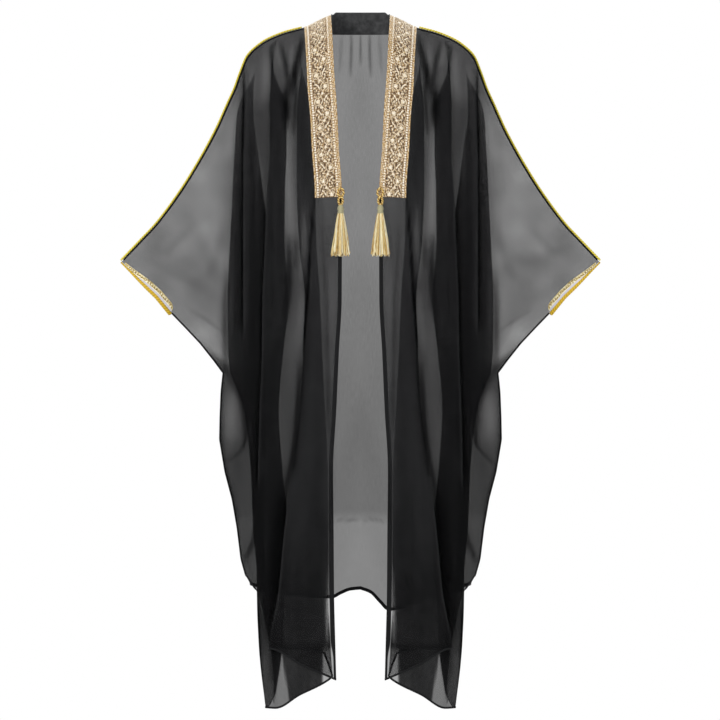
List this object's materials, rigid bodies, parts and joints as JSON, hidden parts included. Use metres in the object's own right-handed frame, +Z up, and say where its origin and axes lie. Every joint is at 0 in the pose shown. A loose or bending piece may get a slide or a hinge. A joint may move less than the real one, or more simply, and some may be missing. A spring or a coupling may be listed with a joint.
{
  "type": "open cloak",
  "caption": "Long open cloak of sheer black cloth in its worn shape, with wide sleeves, gold front trims, cords and tassels.",
  "frame": {"origin": "midway between the wearer's shoulders at the base of the neck", "axes": "+Z up along the cloak's length, -Y to the front where it opens, +X to the wearer's left"},
  "size_m": [0.9846, 0.3048, 1.4257],
  "materials": {
    "sheer_cloth": "matt",
    "black_band": "matt",
    "gold_embroidery": "metallic thread",
    "gold_cord": "metallic thread",
    "silver_band": "metallic thread",
    "gold_thread": "silky"
  },
  "bodies": {
    "root": {"back": "sheer_cloth", "front_left": "sheer_cloth", "front_right": "sheer_cloth", "neck_band": "black_band", "trim_left": "gold_embroidery", "trim_right": "gold_embroidery", "shoulder_cord_left": "gold_cord", "shoulder_cord_right": "gold_cord", "cuff_cord_left": "gold_cord", "cuff_cord_right": "gold_cord", "cuff_band_left_front": "silver_band", "cuff_band_left_back": "silver_band", "cuff_band_right_front": "silver_band", "cuff_band_right_back": "silver_band", "tassel_left": "gold_thread", "tassel_right": "gold_thread"}
  },
  "joints": []
}
